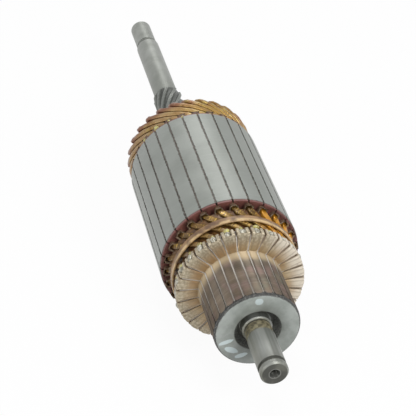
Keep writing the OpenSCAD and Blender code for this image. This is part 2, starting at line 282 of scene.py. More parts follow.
paper_floor = Finish("floor_paper", base_color=(0.86, 0.86, 0.86, 1), roughness=0.9)
glow = paper_floor.node("Emission", {}, {"Color": (1, 1, 1, 1), "Strength": 1.0})
floor_mix = paper_floor.node("MixShader", {}, {
    0: seen_directly(paper_floor) * 0.95, 1: Signal(paper_floor, paper_floor.shader.outputs[0]), 2: glow})
paper_floor.tree.links.new(floor_mix.socket, paper_floor.tree.nodes["Material Output"].inputs[0])

sheet = bmesh.new()
bmesh.ops.create_circle(sheet, cap_ends=True, segments=64, radius=4.0,
                        matrix=Matrix.Translation((0, 0, core_low[2] - 0.2 * MM)))
floor_mesh = bpy.data.meshes.new("floor")
sheet.to_mesh(floor_mesh)
floor_mesh.materials.append(paper_floor.material)
floor = bpy.data.objects.new("floor", floor_mesh)
bpy.context.scene.collection.objects.link(floor)

world = bpy.data.worlds.new("studio")
bpy.context.scene.world = world
world.use_nodes = True
sky = Sky(world)
sky_colour = sky.mix(seen_directly(sky), (0.37, 0.38, 0.4), (1, 1, 1))
world.node_tree.links.new(sky_colour.socket, world.node_tree.nodes["Background"].inputs["Color"])
print("floor at", round(core_low[2] / MM, 2), "mm")

# %% [markdown]
# Five area lamps shape the part: the strongest stands in front and to the right, two hang over the
# core and behind it, and two weak ones lift the sides. All of them aim at the same place, a little
# behind the core's front face.

# %% Lamps
def lamp(name, place, watts, size):
    light = bpy.data.lights.new(name, "AREA")
    light.energy, light.size = watts, size
    item = bpy.data.objects.new(name, light)
    item.location = place
    aim = Vector((0, core_front + 0.03, 0)) - Vector(place)
    item.rotation_euler = aim.to_track_quat("-Z", "Y").to_euler()
    bpy.context.scene.collection.objects.link(item)
    print(name, watts, "W")


lamp("overhead_panel", (-0.06, core_front - 0.05, 1.0), 2.6, 0.3)
lamp("back_panel", (0.22, core_front + 1.15, 0.84), 2.3, 0.55)
lamp("front_panel", (0.45, core_front - 1.0, 0.75), 9.0, 0.4)
lamp("left_panel", (-0.9, core_front - 0.5, 0.4), 2.2, 0.5)
lamp("right_panel", (0.95, core_front - 0.3, 0.35), 0.6, 0.5)

# %% [markdown]
# ## Dressing a solid
# A solid that already has its true shape only needs a finish. `dress` puts one on a carried-over
# node. Where a shape needs softer edges than the solid has, `copy_of` takes the node's mesh into
# a fresh bmesh and welds its loose triangles, so that the edge operators find real edges to work
# on. The node's mesh itself is never touched, and `piece` hides the node that a new piece replaces.

# %% Dress and copy
def dress(finish, *nodes):
    for name in nodes:
        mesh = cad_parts[name].data
        mesh.materials.clear()
        mesh.materials.append(finish.material)


def copy_of(node):
    bm = bmesh.new()
    bm.from_mesh(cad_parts[node].data)
    bmesh.ops.remove_doubles(bm, verts=bm.verts, dist=0.002 * MM)
    return bm


def edges_over(bm, degrees, wanted=lambda edge: True):
    limit = math.radians(degrees)
    return [e for e in bm.edges if len(e.link_faces) == 2 and e.calc_face_angle(0) > limit and wanted(e)]


def add_shape(bm, shape):
    """Add a shape's geometry to bm, and free the shape."""
    mesh = bpy.data.meshes.new("shape")
    shape.to_mesh(mesh)
    shape.free()
    bm.from_mesh(mesh)
    bpy.data.meshes.remove(mesh)


def soften(bm, edges, width_mm, segments=2):
    bmesh.ops.bevel(bm, geom=edges, offset=width_mm * MM, offset_type="OFFSET", segments=segments,
                    profile=0.5, affect="EDGES", clamp_overlap=True, material=-1)


def relax(bm):
    bmesh.ops.smooth_vert(bm, verts=bm.verts, factor=0.3, use_axis_x=True, use_axis_y=True, use_axis_z=True)


def piece(name, bm, finish, replaces=(), smooth=40):
    """Turn a finished bmesh into a piece that rides on the part, and return its count of faces."""
    bmesh.ops.recalc_face_normals(bm, faces=bm.faces)
    mesh = bpy.data.meshes.new(name)
    bm.to_mesh(mesh)
    bm.free()
    item = bpy.data.objects.new(name, mesh)
    bpy.context.scene.collection.objects.link(item)
    mesh.materials.append(finish.material)
    mesh.shade_smooth()
    mesh.set_sharp_from_angle(angle=math.radians(smooth))
    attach(item, "root")
    if replaces:
        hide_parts(*replaces)
    return len(mesh.polygons)


print("dressing tools ready")

# %% [markdown]
# ## Steel core
# The core is a stack of thin steel sheets, turned true after stacking. The sheets show as very
# fine rings, broken by the slot mouths. Varnish from the dipping bath dulls the steel, and it has
# oozed out of the slots and dried in ragged dark specks along each mouth. The solid has the
# slots, so the finish only adds the sheet lines, the turned sheen, the ooze and the stains. Each
# tooth between two slots also gets its own random tone, and the core's right side is painted darker as
# painted shade.

# %% Core steel finish
core_steel = Finish("core_steel", metallic=0.3)
sheet_t = 0.5
sheet_lines = (core_steel.along * (math.tau / sheet_t)).sin()
rings = core_steel.ring_noise(1.1, 4.0)
cloud = core_steel.noise(16, 4)
ragged = core_steel.noise(0.9, 4)
tooth = core_steel.node("TexWhiteNoise", {"noise_dimensions": "1D"}, {"W": core_steel.pitches(0).floor()})
ooze = (core_steel.off_slot() + (ragged - 0.5) * 1.7).between(0.5, 0.34)
steel = core_steel.mix(cloud.between(0.3, 0.7), (0.245, 0.26, 0.232), (0.32, 0.335, 0.305))
steel = core_steel.mix(tooth * 0.6, steel, (0.215, 0.23, 0.21))
steel = core_steel.mix(rings.between(0.5, 0.75) * 0.3, steel, (0.36, 0.37, 0.36))
# painted shade: the core's right side is darkened
steel = core_steel.mix(core_steel.x.between(8, 20) * 0.45, steel, (0.15, 0.16, 0.142))
core_steel.set("Base Color", core_steel.mix(ooze * 0.9, steel, (0.05, 0.042, 0.032)))
core_steel.set("Roughness", cloud * 0.2 + 0.3 + ooze * 0.3)
core_steel.bump(sheet_lines * 0.15 + rings * 0.6 + ooze * 0.8, 0.02, 0.6)
dress(core_steel, "core_laminations")
print("core dressed")

# %% [markdown]
# ## Fibre discs
# Red-brown vulcanised fibre covers both faces of the core. It soaks up varnish, so it is dark
# with an uneven shine, and its outer edge, where the varnish is rubbed off, is a little pinker.

# %% Fibre finish
fibre = Finish("fibre", roughness=0.5, coat_roughness=0.2)
mottle = fibre.noise(4.5, 4)
rim = fibre.radius.between(core_r - 1.1, core_r - 0.4)
red = fibre.mix(mottle.between(0.3, 0.75), (0.075, 0.025, 0.019), (0.17, 0.06, 0.045))
fibre.set("Base Color", fibre.mix(rim * 0.7, red, (0.21, 0.08, 0.07)))
fibre.set("Coat Weight", mottle * 0.6)
fibre.bump(mottle, 0.1, 0.5)
dress(fibre, "end_insulators")
print("discs dressed")

# %% [markdown]
# ## Slot paper
# A folded paper liner lines each slot, and its cuffs stick out at both ends, where they open a
# little round the bars. Folded paper has round corners, so the sharp tubes of the solid are
# copied, their long corners are rounded, and the rims of the cuffs are drawn out and widened.

# %% Paper finish
cuff_start, cuff_end, cuff_reach = 1.1, 2.0, 3.6
paper = Finish("liner_paper", roughness=0.55, coat_roughness=0.3)
weave = paper.noise(1.5, 3)
cuff_rim = paper.along.between(-cuff_reach + 0.9, -cuff_reach + 0.3)
stain = paper.mix(weave.between(0.3, 0.7), (0.08, 0.045, 0.026), (0.18, 0.11, 0.065))
paper.set("Base Color", paper.mix(cuff_rim * weave.between(0.3, 0.55) * 0.8, stain, (0.34, 0.26, 0.17)))
paper.set("Coat Weight", weave * 0.3)
paper.bump(weave, 0.06, 0.5)

print("paper ready, cuffs reach", cuff_reach, "mm")

# %% [markdown]
# The cuffs need a few more rings of corners before they can be bent, so the copy is cut by planes
# near both ends. Each corner past the disc is then moved by the square of its distance from it,
# so that the paper leaves the slot straight and curls away towards its rim.

# %% Slot liners
liners = copy_of("slot_liners")
soften(liners, edges_over(liners, 60, lambda e: abs(e.verts[0].co.y - e.verts[1].co.y) > 10 * MM), 0.7, 4)
for reach in (cuff_start, 1.8, 2.2):
    for cut in (-reach, core_len + reach):
        bmesh.ops.bisect_plane(liners, geom=[*liners.verts, *liners.edges, *liners.faces],
                               plane_co=(0, core_front + cut * MM, 0), plane_no=(0, 1, 0))
cuff_top = max(math.hypot(v.co.x, v.co.z) for v in liners.verts)
for v in liners.verts:
    beyond_core = max(-station(v.co.y), station(v.co.y) - core_len)
    past = (beyond_core - cuff_start) / (cuff_end - cuff_start)
    if past > 0:
        outwards, sideways = ways(nearest_turn(v.co))
        v.co += sideways * v.co.dot(sideways) * 0.3 * past ** 2
        v.co += outwards * max(0.0, v.co.dot(outwards) - cuff_top + 3 * MM) * 0.32 * past ** 2
        v.co.y += math.copysign((cuff_reach - cuff_end) * past * MM, station(v.co.y) - core_len / 2)
print("slot liners:", piece("slot_paper", liners, paper, ["slot_liners"], 50), "faces")

# %% [markdown]
# ## Varnish in the slot mouths
# The dipping varnish stands in each slot mouth as a thin uneven bead, a little below the turned
# surface. It is grey along the walls and painted dark in the middle, partly dried varnish and partly
# painted shade of the slot gap, so a mouth reads as a thin ragged brown line and not as a black one.
# The line is a reading of the distance from the slot's middle.

# %% Slot varnish
bead_varnish = Finish("slot_varnish", roughness=0.45)
crumbs = bead_varnish.noise(1.2, 4)
# partly painted shade: the middle of the slot mouth is darkened, over the dried varnish
gap_shade_line = (bead_varnish.off_slot() + (crumbs - 0.5) * 0.6).between(0.36, 0.2)
dried_varnish_and_shade = bead_varnish.mix(crumbs.between(0.35, 0.65), (0.045, 0.034, 0.024), (0.14, 0.115, 0.09))
bead_varnish.set("Base Color", bead_varnish.mix(gap_shade_line, (0.2, 0.195, 0.17), dried_varnish_and_shade))
bead_varnish.bump(crumbs, 0.15, 0.6)

print("slot varnish ready")

# %% [markdown]
# For a bead, a block is cut into short lengths, spread along its slot, and its top is lowered by a
# small random amount at each cut.

# %% Slot beads
bead_w, bead_h, bead_r, end_gap = 0.79, 0.7, core_r - 0.52, 0.3
random.seed(70)
strips = bmesh.new()
for turn in slot_turns:
    outwards, sideways = ways(turn)
    strip = bmesh.new()
    bmesh.ops.create_cube(strip, size=1)
    long_edges = [e for e in strip.edges if abs(e.verts[0].co.y - e.verts[1].co.y) > 0.5]
    bmesh.ops.subdivide_edges(strip, edges=long_edges, cuts=40)
    dips = {round(v.co.y, 3): random.uniform(0, 0.3) for v in strip.verts}
    for v in strip.verts:
        r = bead_r + v.co.z * bead_h - dips[round(v.co.y, 3)] * (v.co.z > 0)
        along = core_len / 2 + v.co.y * (core_len - 2 * end_gap)
        v.co = (outwards * r + sideways * v.co.x * bead_w) * MM
        v.co.y = core_front + along * MM
    add_shape(strips, strip)
print("slot beads:", piece("slot_beads", strips, bead_varnish, smooth=60), "faces")

# %% [markdown]
# ## Enamelled copper
# The hairpins are rectangular copper bars under amber enamel and varnish. The copper's shine comes
# through the enamel, and a clear coat gives the wet highlights. The leads lean round the shaft, so
# a noise that is drawn out along their lean gives them long thin painted highlights, like light on
# ridges of varnish. Their tops are lighter than their flanks, partly from varnish flooding the
# flanks and partly as painted shade between the leads. Those on the left are painted darker, as
# painted shade, and a few on the right carry a painted orange highlight.

# %% Copper of the leads
copper = Finish("enamelled_copper", metallic=0.55, coat_roughness=0.15)
drops = copper.noise(2.6, 3)
streak = copper.noise(6, 4)
fine = copper.noise(1.2, 3)
lean, lead_r = 0.85, 24.9
across = copper.turned_by * lead_r + copper.along * lean
with_the_lead = copper.node("CombineXYZ", {}, {0: across, 1: copper.along * 0.12, 2: copper.radius})
drawn = copper.node("TexNoise", {}, {"Scale": 1.6, "Detail": 3.0, "Vector": with_the_lead})
lead_top, lead_dip = core_r - 2.15, 2.05
dipped = (copper.along * -1.0).between(2.3, 7.6)
flank = dipped * -lead_dip + lead_top - copper.radius
bronze = copper.mix(streak.between(0.35, 0.65), (0.1, 0.055, 0.012), (0.21, 0.12, 0.026))
# painted highlight: long thin light ridges along the leads
bronze = copper.mix(drawn.between(0.56, 0.61) * 0.85, bronze, (0.52, 0.34, 0.08))
# partly painted shade, partly flooded varnish: the leads darken below their tops, between one another
bronze = copper.mix(flank.between(0.25, 1.7), bronze, (0.08, 0.036, 0.011))
# painted shade: leads on the left are darkened
bronze = copper.mix(copper.x.between(-4, -20) * streak.between(0.3, 0.6) * 0.5, bronze, (0.12, 0.06, 0.03))
# painted highlight: orange glints on some leads at the right
right_glint = copper.x.between(8, 14) * copper.z.between(0, 6) * (drawn + drops).between(0.75, 1.0)
bronze = copper.mix(right_glint * 0.9, bronze, (0.56, 0.25, 0.015))
print("lead tops at r", round(lead_top, 2))

# %% [markdown]
# At the drive end the bars are yellower, with painted yellow highlights along them and drops of
# resin, and heat has turned the heads reddish brown, most of all on the left.

# %% Copper of the heads
amber = copper.mix(streak.between(0.35, 0.65), (0.2, 0.1, 0.022), (0.36, 0.21, 0.05))
# painted highlight: light yellow streaks along the bars
amber = copper.mix(drawn.between(0.5, 0.7) * 0.45, amber, (0.48, 0.33, 0.09))
amber = copper.mix(drops.between(0.5, 0.62) * 0.6, amber, (0.4, 0.29, 0.05))
left = copper.x.between(10, -16)
amber = copper.mix(left * streak.between(0.3, 0.6) * 0.6, amber, (0.3, 0.2, 0.12))
heated = copper.along.between(head_end - 9, head_end - 5) * (streak + left * 0.3).between(0.45, 0.65)
amber = copper.mix(heated * 0.9, amber, (0.19, 0.07, 0.036))
print("heads turn brown from", round(head_end - 9, 1), "mm")

# %% [markdown]
# The two coppers meet inside the core, where no one sees it. The last few millimetres of the leads
# are bare, tinned, and turned flush with the risers.

# %% Copper put together
tin_share = copper.radius.between(19, 26.5) * 0.8 + (fine - 0.5) * 0.4
tinned = copper.mix(tin_share, (0.5, 0.35, 0.21), (0.5, 0.46, 0.36))
in_riser = copper.along.between(riser_back - 1.2, riser_back - 2.2)
enamel = copper.mix(copper.along.between(20, 50), bronze, amber)
copper.set("Base Color", copper.mix(in_riser, enamel, tinned))
copper.set("Roughness", streak * 0.3 + 0.2)
outside_riser = copper.along.between(riser_back - 2, riser_back - 1)
copper.set("Coat Weight", drops.between(0.4, 0.65) * 0.5 * outside_riser)
copper.bump(drops * 0.7 + fine * 0.3 + drawn * 0.4, 0.16, 0.6)
print("copper ready")

# %% [markdown]
# ## Hairpins
# A drawn rectangular bar has small round corners, and those corners carry the highlight that
# makes it read as wire. Each solid hairpin has sharp corners, so we work on a welded copy of it:
# the long edges are found by their angle and bevelled. A sweep along a curve would be the other
# way, but the copy keeps every bend exactly where the solid has it.

# %% Round the hairpins
faces = 0
for name in hairpin_names:
    bar = copy_of(name)
    soften(bar, edges_over(bar, 55), 0.65, 3)
    faces += piece(name.replace("hairpin", "hairpin_bar"), bar, copper, [name], 50)
print(len(hairpin_names), "hairpins with", faces, "faces")

# %% [markdown]
# ## Commutator bars
# The bars are turned true, and the brushes then wear a dark film into their track. The film has
# rosy and greenish patches of tarnish and fine turned rings, and it is darkest along the edges of
# the bars. Small dark notches are left at their ends, where the lathe tool chipped the moulding.
# Next to the risers, which the brushes don't reach, the track is light again.

# %% Brush track finish
bar_copper = Finish("bar_copper", metallic=0.35, roughness=0.4)
turned = bar_copper.ring_noise(0.5, 3)
patch = bar_copper.noise(9, 4)
fine = bar_copper.noise(1.0, 3)
tarnish = bar_copper.noise(7, 3)
off_edge = bar_copper.off_slot(0)
film = bar_copper.mix(patch.between(0.3, 0.75), (0.07, 0.05, 0.03), (0.152, 0.112, 0.072))
film = bar_copper.mix(tarnish.between(0.5, 0.65) * 0.6, film, (0.17, 0.105, 0.09))
greenish = tarnish.between(0.47, 0.35) * bar_copper.x.between(-4, 8)
film = bar_copper.mix(greenish * 0.7, film, (0.12, 0.125, 0.085))
film = bar_copper.mix(turned.between(0.45, 0.7) * 0.35, film, (0.22, 0.18, 0.145))
film = bar_copper.mix(off_edge.between(2.1, 0.2) * 0.35, film, (0.07, 0.06, 0.05))
notch = (off_edge + (bar_copper.along - bar_end) * 0.9 + (fine - 0.5) * 0.8).between(1.2, 0.8)
film = bar_copper.mix(notch * 0.9, film, (0.02, 0.02, 0.018))
track_end = (bar_copper.along + (patch - 0.5) * 4).between(riser_front - 6.5, riser_front - 1.5)
film = bar_copper.mix(track_end * 0.85, film, (0.41, 0.315, 0.185))
print("brush track from", round(bar_end, 1), "to", round(riser_front, 1), "mm")

# %% [markdown]
# The risers stay bright: bare copper shows near the track, and tin and flux grey them towards
# their tips, with the tin on the right painted lighter as painted light. A thin brown line marks the
# joint round each pair of leads, and painted shade darkens the gaps between neighbouring risers.

# %% Riser finish
bare = bar_copper.mix(patch.between(0.35, 0.7), (0.34, 0.215, 0.105), (0.4, 0.3, 0.17))
tin = bar_copper.mix(fine.between(0.35, 0.7), (0.31, 0.26, 0.175), (0.54, 0.47, 0.34))
# painted light: the tin on the right side is lightened
tin = bar_copper.mix(bar_copper.x.between(8, 20), tin, (0.66, 0.59, 0.48))
towards_tip = (bar_copper.radius + (patch - 0.5) * 7).between(20, 26.5)
bright = bar_copper.mix(towards_tip, bare, tin)
joint = (bar_copper.off_slot() + (fine - 0.5) * 0.8).inside(1.05, 1.3, 0.35)
bright = bar_copper.mix(joint * 0.35, bright, (0.22, 0.17, 0.11))
# painted shade: the gaps between neighbouring risers are darkened
gap_shade_line = (off_edge + (fine - 0.5) * 0.5).between(0.8, 0.45)
bright = bar_copper.mix(gap_shade_line * bar_copper.radius.between(21, 25) * 0.75, bright, (0.2, 0.14, 0.085))
on_riser = bar_copper.radius.between(track_r + 0.2, track_r + 0.6)
bar_copper.set("Base Color", bar_copper.mix(on_riser, film, bright))
bar_copper.set("Roughness", patch * 0.3 + 0.25)
bar_copper.bump(turned * 0.5 + fine * on_riser, 0.05, 0.7)
print("risers from r", round(track_r, 1), "to", round(riser_r, 1))

# %% [markdown]
# The tips are rounded by hand with a file, so their corners are softened on copies of the bars.
# Only the edges that lie wholly at the tip are bevelled, and the track keeps its crisp edges.

# %% Round the riser tips
def at_tip(edge):
    return min(math.hypot(v.co.x, v.co.z) for v in edge.verts) > (riser_r - 0.6) * MM


faces = 0
for name in bar_names:
    bar = copy_of(name)
    soften(bar, edges_over(bar, 50, at_tip), 1.5, 4)
    faces += piece(name.replace("commutator", "riser"), bar, bar_copper, [name], 35)
print(len(bar_names), "bars with", faces, "faces")

# %% [markdown]
# ## Soldered faces
# After the leads are soldered into the risers, a light cut leaves one smooth face on each riser,
# so neither slot nor lead shows. Each face is a thin block of many small squares that is spread to
# the riser's wedge. Its tip is rounded, its surface is slightly wavy, its border dips back to meet
# the riser, and every riser is filed to a width of its own, with wider gaps on the right.

# %% Riser faces
def subdivided_block(cuts):
    block = bmesh.new()
    bmesh.ops.create_cube(block, size=1)
    bmesh.ops.subdivide_edges(block, edges=block.edges, cuts=cuts, use_grid_fill=True)
    return block


skin_root, skin_h, skin_t = track_r + 0.35, riser_r - track_r - 0.4, 0.34
skins = bmesh.new()
blank = subdivided_block(7)
random.seed(9)
for k, turn in enumerate(slot_turns):
    outwards, sideways = ways(turn)
    skin = blank.copy()
    narrow = random.uniform(0.4, 0.75) + 0.35 * max(0.0, outwards.x)
    for v in skin.verts:
        across, out, front_share = v.co.x * 2, v.co.y + 0.5, 0.5 - v.co.z
        r = skin_root + out * skin_h
        half = r * math.tan(slot_pitch / 2) - 0.42 - narrow * out ** 2 * 0.5
        half *= 1 - 0.7 * max(0.0, out - 0.85)
        r -= max(0.0, out - 0.75) * 6 * across ** 4
        border = max(abs(across), abs(out * 2 - 1)) ** 8
        wave = 0.06 * math.sin(across * 4.5 + k * 1.7) * math.sin(out * 5 + k)
        v.co = outwards * r * MM + sideways * across * half * MM
        v.co.y = core_front + (riser_front + 0.05 - front_share * (skin_t + wave - border * 0.3)) * MM
    add_shape(skins, skin)
blank.free()
print("riser faces:", piece("riser_faces", skins, bar_copper, smooth=40), "faces")

# %% [markdown]
# ## Solder
# The solder on the risers is half dull and half bright, with a warm tint from the flux, so its
# finish mixes two greys and lets one noise set both the colour and the roughness.

# %% Solder finish
solder = Finish("solder", metallic=0.4)
lumps = solder.noise(1.3, 3)
grey = solder.mix(lumps.between(0.35, 0.7), (0.22, 0.2, 0.15), (0.6, 0.58, 0.49))
solder.set("Base Color", grey)
solder.set("Roughness", lumps * 0.35 + 0.15)
solder.bump(lumps, 0.2, 0.8)
print("solder ready")

# %% [markdown]
# A lump starts as a small ball that is flattened and knocked out of round in seven directions. The
# seeds are fixed, so every run makes the same lumps.

# %% A lump
def lump(bm, turn, at_station, at_radius, aside, size):
    """A small ball, flattened to size (sideways, along, outwards), then knocked out of round."""
    outwards, sideways = ways(turn)
    place = outwards * at_radius * MM + sideways * aside * MM + Vector((0, core_front + at_station * MM, 0))
    knocks = [(Vector([random.gauss(0, 1) for _ in range(3)]).normalized(), random.uniform(-0.2, 0.25))
              for _ in range(7)]
    for v in bmesh.ops.create_icosphere(bm, subdivisions=3, radius=1)["verts"]:
        n = v.co.normalized()
        swell = 1 + sum(depth * max(0.0, n.dot(way)) ** 3 for way, depth in knocks)
        v.co = place + (sideways * n.x * size[0] + Vector((0, 1, 0)) * n.y * size[1]
                        + outwards * n.z * size[2]) * swell * MM


print("lumps can be made")

# %% [markdown]
# Each pair of leads is soldered into its riser, and the solder stands on the tip as a lumpy cap,
# with a second lump beside it on about half the risers. The caps at the upper left are heavier.

# %% Solder caps
upper_left = math.radians(125)
random.seed(27)
caps = bmesh.new()
for turn in slot_turns:
    heavy = 1.0 + 0.35 * max(0.0, math.cos(turn - upper_left))
    lump(caps, turn, riser_front + random.uniform(1.8, 2.3), riser_r - 1.0, random.uniform(-0.3, 0.3),
         (heavy * random.uniform(1.0, 1.5), random.uniform(1.6, 2.1), heavy * random.uniform(0.8, 1.3)))
    if random.random() < 0.5:
        lump(caps, turn, riser_front + random.uniform(1.0, 3.2), riser_r - 0.9, random.uniform(-1.2, 1.2),
             (random.uniform(0.5, 0.9), random.uniform(0.6, 1.1), random.uniform(0.7, 1.1)))
relax(caps)
print("solder caps:", piece("solder_caps", caps, solder, smooth=180), "faces")

# %% [markdown]
# ## Resin
# The dipping resin gathers into glossy yellow drops where it can hang: behind the riser tips and
# at the slot ends on the drive side. The drops are made like the solder caps.

# %% Resin drops
resin = Finish("resin", roughness=0.22, coat_weight=0.6, coat_roughness=0.1)
tint = resin.noise(3, 3)
resin.set("Base Color", resin.mix(tint.between(0.3, 0.7), (0.26, 0.2, 0.035), (0.6, 0.55, 0.17)))
resin.bump(tint, 0.2, 0.5)

beads = bmesh.new()
for turn in slot_turns:
    lump(beads, turn + 0.01, riser_back + random.uniform(0.3, 1.0), riser_r - random.uniform(0.9, 1.9),
         random.uniform(-0.9, 0.3), [random.uniform(0.7, 1.5) for _ in range(3)])
    lump(beads, turn, core_len + random.uniform(2.6, 3.4), core_r - random.uniform(1.7, 2.3),
         random.uniform(-0.6, 0.6),
         (random.uniform(1.0, 1.6), random.uniform(1.2, 1.9), random.uniform(0.8, 1.2)))
relax(beads)
print("resin drops:", piece("resin_drops", beads, resin, smooth=180), "faces")

# %% [markdown]
# ## Sleeve under the upper leads
# Varnish has filled the gaps between the upper leads to more than half their height, over the
# paper that parts the two layers, and it shows as a dark brown floor. Its profile follows the
# leads from the slots down to the risers: a short row of points is spun round the shaft, and
# solidify gives it a thickness.

# %% Sleeve finish
floor_varnish = Finish("floor_varnish", roughness=0.4)
pooled = floor_varnish.noise(2.2, 4)
pool_colour = floor_varnish.mix(pooled.between(0.35, 0.65), (0.075, 0.03, 0.012), (0.2, 0.1, 0.026))
floor_varnish.set("Base Color", pool_colour)
floor_varnish.bump(pooled, 0.25, 0.6)
print("floor varnish ready")

# %% Lead sleeve
sleeve_start, sleeve_step, sleeve_fall, fall_len = 2.6, 0.85, 2.1, 5.3
gap_r = core_r - 3.6
sleeve = bmesh.new()
row = []
for i in range(16):
    t = min(1.0, (0.3 + i * sleeve_step) / fall_len)
    r = gap_r - sleeve_fall * (3 * t * t - 2 * t * t * t)
    row.append(sleeve.verts.new((0, core_front - (sleeve_start + i * sleeve_step) * MM, r * MM)))
path = [sleeve.edges.new(pair) for pair in zip(row, row[1:])]
bmesh.ops.spin(sleeve, geom=row + path, angle=math.tau, steps=108, axis=(0, 1, 0), cent=(0, 0, 0),
               use_merge=True, use_duplicate=False)
bmesh.ops.recalc_face_normals(sleeve, faces=sleeve.faces)
bmesh.ops.solidify(sleeve, geom=list(sleeve.faces), thickness=0.2 * MM)
print("lead sleeve:", piece("lead_sleeve", sleeve, floor_varnish, smooth=60), "faces")

# %% [markdown]
# ## Moulding
# Hub and plates are a hard grey moulding. Its face was turned clean and is darker towards the
# bottom, its rim stayed dark and is chipped, and the recess round the shaft was never machined.
# The plates show as pale lines between the bars, and as brown ones, painted shade, between the risers on
# the right.

# %% Moulding finish
moulding = Finish("moulding", roughness=0.5)
grain = moulding.noise(4, 4)
fine = moulding.noise(0.8, 3)
clean = moulding.mix(grain.between(0.3, 0.7), (0.24, 0.26, 0.235), (0.325, 0.345, 0.32))
# the face is darker towards the bottom
clean = moulding.mix(moulding.z.between(4, -13) * 0.45, clean, (0.17, 0.18, 0.165))
dark = moulding.mix(fine.between(0.35, 0.65), (0.012, 0.012, 0.011), (0.06, 0.06, 0.054))
dark = moulding.mix(fine.between(0.6, 0.68) * 0.6, dark, (0.25, 0.25, 0.23))
rough = moulding.mix(fine.between(0.35, 0.7), (0.05, 0.052, 0.045), (0.12, 0.122, 0.11))
pale = moulding.mix(fine, (0.36, 0.33, 0.28), (0.6, 0.56, 0.5))
on_risers = moulding.radius.between(track_r + 0.5, track_r + 1.5)
# painted shade: the plates between the risers on the right are darkened to brown
pale = moulding.mix(on_risers * moulding.x.between(2, 10) * 0.8, pale, (0.2, 0.14, 0.085))
chipped = (moulding.radius + (fine - 0.5) * 1.2).between(track_r - 0.5, track_r - 0.9)
recess_r = 9.9
off_recess = moulding.radius.between(recess_r - 0.2, recess_r + 0.3)
on_face = moulding.along.between(face + 0.35, face + 0.1) * chipped * off_recess
print("face from r", recess_r, "to", round(track_r - 0.7, 2))

# %% [markdown]
# Workshop paint marks, one dot and three plain dabs, were put on the face with a brush. Each is a
# turned ellipse in the plane of the face, and noise makes its border ragged.

# %% Paint marks
def dab(across, height, long, wide, lean):
    """A paint mark with a soft ragged edge, centred on the face at the given place."""
    c, s = math.cos(lean), math.sin(lean)
    u, v = moulding.x - across, moulding.z - height
    a, b = (u * c + v * s) * (1 / long), (v * c - u * s) * (1 / wide)
    return (a * a + b * b + (fine - 0.5) * 0.6).between(1.15, 0.8)


dab_r = 13.9
paint = dab(0.2, 14.9, 1.7, 1.7, 0)
for angle, long, wide, lean in ((196, 3.2, 1.0, 14), (217, 3.1, 1.4, -30), (240, 2.8, 1.1, 12)):
    turn = math.radians(angle)
    paint = paint.most(dab(dab_r * math.cos(turn), dab_r * math.sin(turn), long, wide, math.radians(lean)))
plate_root = 13.2
on_track = (moulding.along.between(bar_end + 0.3, bar_end + 0.8)
            * moulding.radius.between(plate_root - 0.2, plate_root + 0.4))
edge = moulding.mix(moulding.radius.between(14, 12), dark, rough)
body = moulding.mix(on_track, moulding.mix(on_face, edge, clean), pale)
moulding.set("Base Color", moulding.mix(paint * on_face * 0.85, body, (0.5, 0.57, 0.57)))
moulding.bump(grain + fine * 0.5, 0.05, 0.5)
print("four paint marks")

# %% [markdown]
# In the solid the plates lie a little below the track and clear of the bars. Carbon and varnish
# fill that groove in use, so on a copy the plates are thickened until they touch the bars, and
# their outer edges are brought flush with the track.

# %% Moulded hub
plate_swell = 0.06
hub = copy_of("commutator_moulding")
for v in hub.verts:
    radius = math.hypot(v.co.x, v.co.z) / MM
    if station(v.co.y) > bar_end + 0.1 and radius > plate_root:
        outwards, sideways = ways(nearest_turn(v.co, 0.5))
        off = v.co.dot(sideways) / MM
        if abs(off) < 0.35:
            v.co += sideways * math.copysign(plate_swell * MM, off)
            if track_r - 1.5 < radius < track_r:
                v.co += outwards * (track_r + 0.03 - radius) * MM
print("moulding:", piece("moulded_hub", hub, moulding, ["commutator_moulding"], 40), "faces")

# %% [markdown]
# ## Banding
# A cord wound tightly round the leads and soaked in varnish holds them against the spin. It reads
# as one smooth brown band with very fine parallel windings and soft edges, and a painted highlight
# shows as a lighter line near its front edge. A copy of the ring gets the soft edges, and the
# windings are in the finish.

# %% Banding
cord_finish = Finish("banding_cord", roughness=0.45, coat_roughness=0.3)
cord_pitch = 0.5
windings = (cord_finish.along * (math.tau / cord_pitch)).sin()
soak = cord_finish.noise(4, 4)
crest = cord_finish.along.inside(band_front + 0.3, band_front + 1.1, 0.5)
brown = cord_finish.mix(soak.between(0.3, 0.7), (0.14, 0.075, 0.036), (0.42, 0.24, 0.1))
brown = cord_finish.mix(windings.between(0, -1) * 0.3, brown, (0.12, 0.06, 0.025))
# painted highlight: a lighter line near the band's front edge
crest_highlight = crest * soak.between(0.3, 0.6)
cord_finish.set("Base Color", cord_finish.mix(crest_highlight * 0.9, brown, (0.62, 0.45, 0.22)))
cord_finish.set("Coat Weight", soak * 0.5)
cord_finish.bump(windings * 0.25 + soak, 0.08, 0.6)

ring = copy_of("front_banding")
soften(ring, edges_over(ring, 50), 0.4, 3)
print("banding:", piece("lead_banding", ring, cord_finish, ["front_banding"]), "faces")

# %% [markdown]
# ## Shaft
# The shaft is ground steel where it runs in bearings and turned steel elsewhere. It is dressed as
# it is, because its spline, grooves and chamfers are all in the solid. In front of the core,
# handling has left faint streaks along it and a yellowish cast on the left, and one light and one
# dark line along its top are a painted highlight and a painted dark reflection. Noise that is
# stretched twenty times along the axis makes the streaks.

